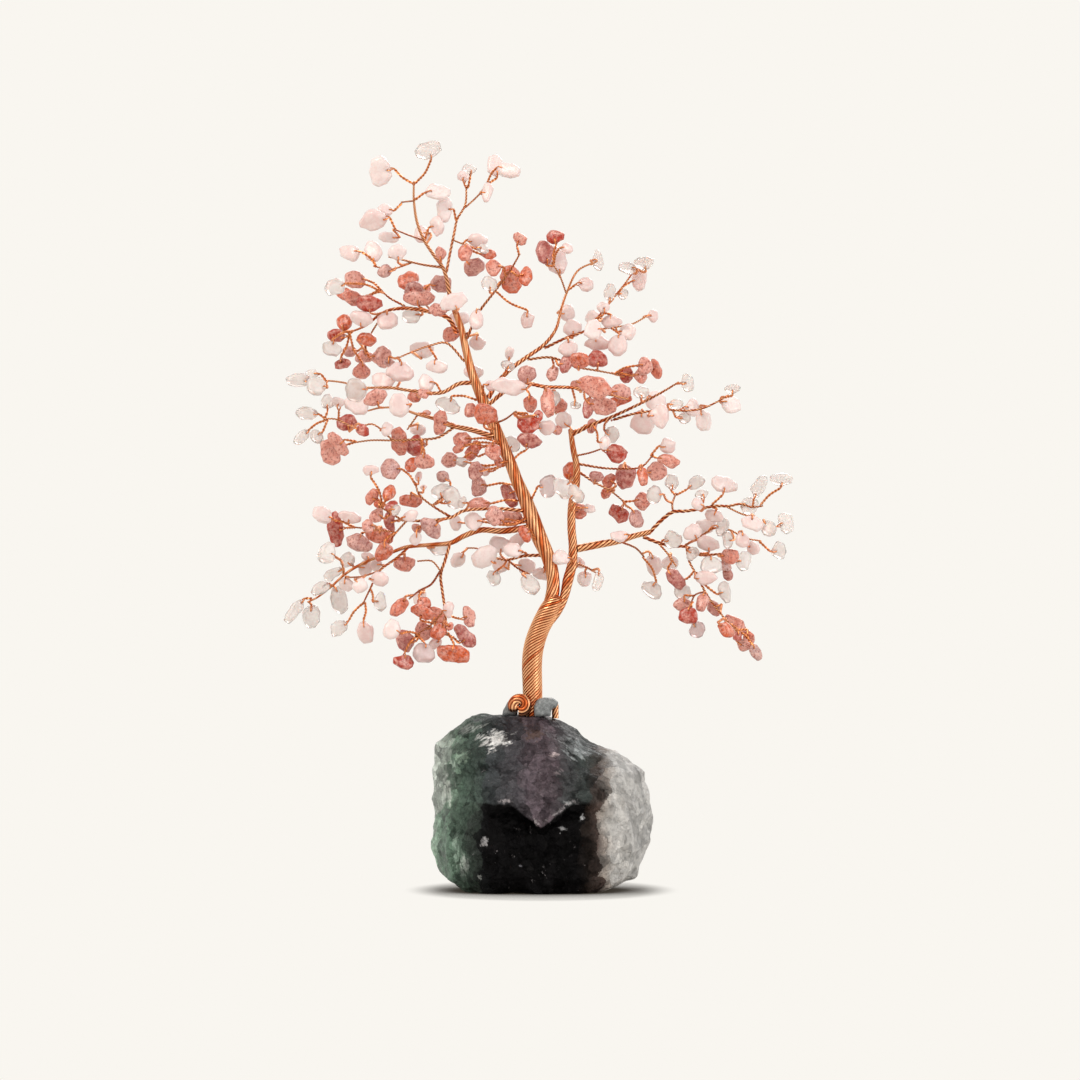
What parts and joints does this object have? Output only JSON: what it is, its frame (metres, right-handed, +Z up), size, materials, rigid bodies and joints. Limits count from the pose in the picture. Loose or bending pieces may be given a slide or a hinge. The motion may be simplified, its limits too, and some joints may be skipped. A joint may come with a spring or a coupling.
{
  "type": "gemstone tree ornament",
  "caption": "Twisted copper wire tree hung with drilled rose and strawberry quartz chips, set in a raw fluorite block; its limbs bend a little by hand.",
  "frame": {"origin": "middle of the stone's flat underside, where the ornament stands on a table", "axes": "+Z up from the table to the crown, +X to the viewer's right along the broad side of the tree, +Y away from the viewer"},
  "size_m": [0.2037, 0.0941, 0.2991],
  "materials": {
    "copper_wire": "bright drawn wire",
    "rose_quartz": "tumbled",
    "strawberry_quartz": "tumbled",
    "fluorite": "raw, broken faces",
    "pebble": "worn",
    "glue": "cured"
  },
  "bodies": {
    "tree": {"base_stone": "fluorite", "pebble_left": "pebble", "pebble_right": "pebble", "foot_glue": "glue", "foot_root_curl": "copper_wire", "root_tail": "copper_wire", "trunk": "copper_wire", "left_leader": "copper_wire", "right_leader": "copper_wire", "centre_stems": "copper_wire", "centre_twigs": "copper_wire", "centre_red_chips": "strawberry_quartz", "centre_pale_chips": "rose_quartz", "right_mid_stems": "copper_wire", "right_mid_twigs": "copper_wire", "right_mid_red_chips": "strawberry_quartz", "right_mid_pale_chips": "rose_quartz", "left_mid_stems": "copper_wire", "left_mid_twigs": "copper_wire", "left_mid_red_chips": "strawberry_quartz", "left_mid_pale_chips": "rose_quartz", "left_low_stems": "copper_wire", "left_low_twigs": "copper_wire", "left_low_red_chips": "strawberry_quartz", "left_low_pale_chips": "rose_quartz", "low_centre_stems": "copper_wire", "low_centre_twigs": "copper_wire", "low_centre_pale_chips": "rose_quartz"},
    "crown": {"crown_stems": "copper_wire", "crown_twigs": "copper_wire", "crown_red_chips": "strawberry_quartz", "crown_pale_chips": "rose_quartz"},
    "upper_left": {"upper_left_stems": "copper_wire", "upper_left_twigs": "copper_wire", "upper_left_red_chips": "strawberry_quartz", "upper_left_pale_chips": "rose_quartz"},
    "lower_left": {"lower_left_stems": "copper_wire", "lower_left_twigs": "copper_wire", "lower_left_red_chips": "strawberry_quartz", "lower_left_pale_chips": "rose_quartz"},
    "left_sprig": {"left_sprig_stems": "copper_wire", "left_sprig_twigs": "copper_wire", "left_sprig_red_chips": "strawberry_quartz", "left_sprig_pale_chips": "rose_quartz"},
    "upper_right": {"upper_right_stems": "copper_wire", "upper_right_twigs": "copper_wire", "upper_right_red_chips": "strawberry_quartz", "upper_right_pale_chips": "rose_quartz"},
    "far_right": {"far_right_stems": "copper_wire", "far_right_twigs": "copper_wire", "far_right_pale_chips": "rose_quartz"},
    "right_limb": {"right_limb_stems": "copper_wire", "right_limb_twigs": "copper_wire", "right_limb_red_chips": "strawberry_quartz", "right_limb_pale_chips": "rose_quartz"},
    "right_sprig": {"right_sprig_stems": "copper_wire", "right_sprig_twigs": "copper_wire", "right_sprig_red_chips": "strawberry_quartz", "right_sprig_pale_chips": "rose_quartz"}
  },
  "joints": [
    {"name": "crown_bend", "type": "hinge", "parent": "tree", "child": "crown", "pos_m": [-0.03676, 0.00361, 0.23807], "axis": [1, 0, 0], "range_deg": [-8, 8]},
    {"name": "upper_left_bend", "type": "hinge", "parent": "tree", "child": "upper_left", "pos_m": [-0.03425, 0.00461, 0.22349], "axis": [0, 0, 1], "range_deg": [-8, 8]},
    {"name": "lower_left_bend", "type": "hinge", "parent": "tree", "child": "lower_left", "pos_m": [-0.00648, 0.0007, 0.14479], "axis": [0, 0, 1], "range_deg": [-8, 8]},
    {"name": "left_sprig_bend", "type": "hinge", "parent": "lower_left", "child": "left_sprig", "pos_m": [-0.03694, -0.00135, 0.13732], "axis": [1, 0, 0], "range_deg": [-8, 8]},
    {"name": "upper_right_bend", "type": "hinge", "parent": "tree", "child": "upper_right", "pos_m": [-0.02086, 0.00299, 0.19771], "axis": [-0.6, 0, 0.8], "range_deg": [-8, 8]},
    {"name": "far_right_bend", "type": "hinge", "parent": "tree", "child": "far_right", "pos_m": [0.01339, -0.00371, 0.18253], "axis": [0, 0, 1], "range_deg": [-8, 8]},
    {"name": "right_limb_bend", "type": "hinge", "parent": "tree", "child": "right_limb", "pos_m": [0.01507, -0.00018, 0.13669], "axis": [0, 0, 1], "range_deg": [-8, 8]},
    {"name": "right_sprig_bend", "type": "hinge", "parent": "right_limb", "child": "right_sprig", "pos_m": [0.06242, 0.00582, 0.12559], "axis": [1, 0, 0], "range_deg": [-8, 8]}
  ]
}
